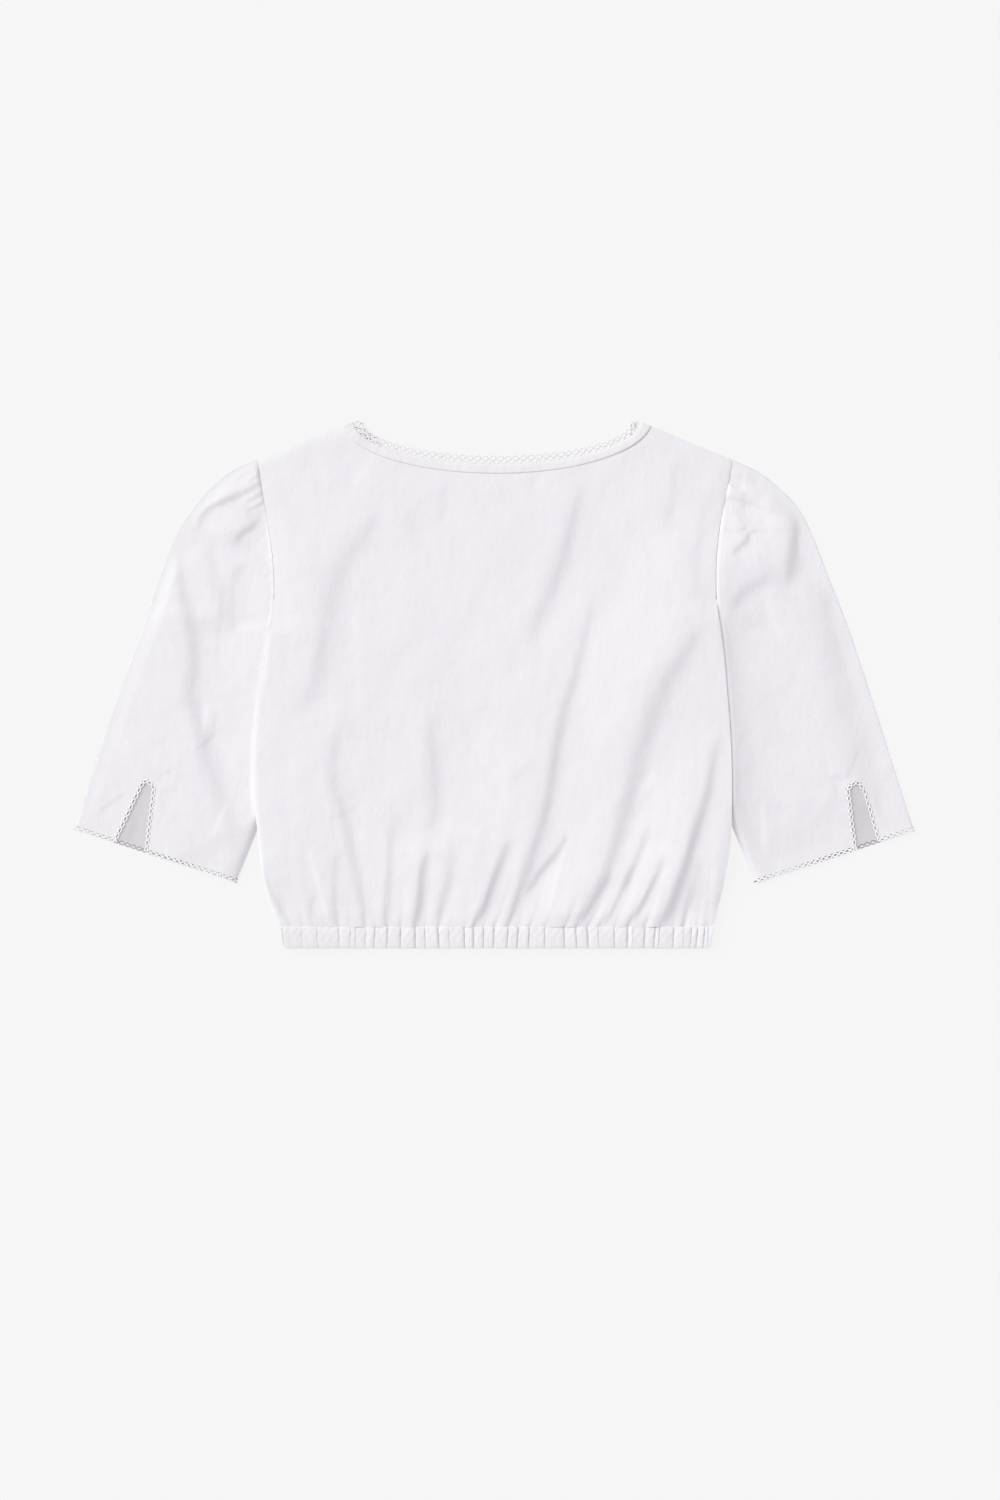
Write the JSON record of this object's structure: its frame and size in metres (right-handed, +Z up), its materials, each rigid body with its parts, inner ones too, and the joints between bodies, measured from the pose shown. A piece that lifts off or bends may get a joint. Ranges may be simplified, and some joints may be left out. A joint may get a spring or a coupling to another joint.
{
  "type": "dirndl blouse",
  "caption": "Cropped white dirndl blouse laid flat, back up: low rounded lace-edged neck, puffed elbow sleeves with a laced slit, elastic waist casing.",
  "frame": {"origin": "middle of the blouse's outline, on the surface that it lies on", "axes": "+X across the blouse to its wearer's right sleeve as it lies with the back up, +Y from the hem to the neck, +Z up from the surface"},
  "size_m": [0.7146, 0.4508, 0.0134],
  "materials": {
    "cotton": "plain white cotton, matt",
    "lace": "white cotton lace edging, matt"
  },
  "bodies": {
    "root": {"back_panel": "cotton", "front_panel": "cotton", "waist_casing_back": "cotton", "waist_casing_front": "cotton", "neck_binding_back": "cotton", "neck_binding_front": "cotton", "sleeve_left": "cotton", "sleeve_right": "cotton", "neck_lace_back": "lace", "neck_lace_front": "lace", "hem_lace_left": "lace", "hem_lace_right": "lace", "slit_lace_left": "lace", "slit_lace_right": "lace"}
  },
  "joints": []
}
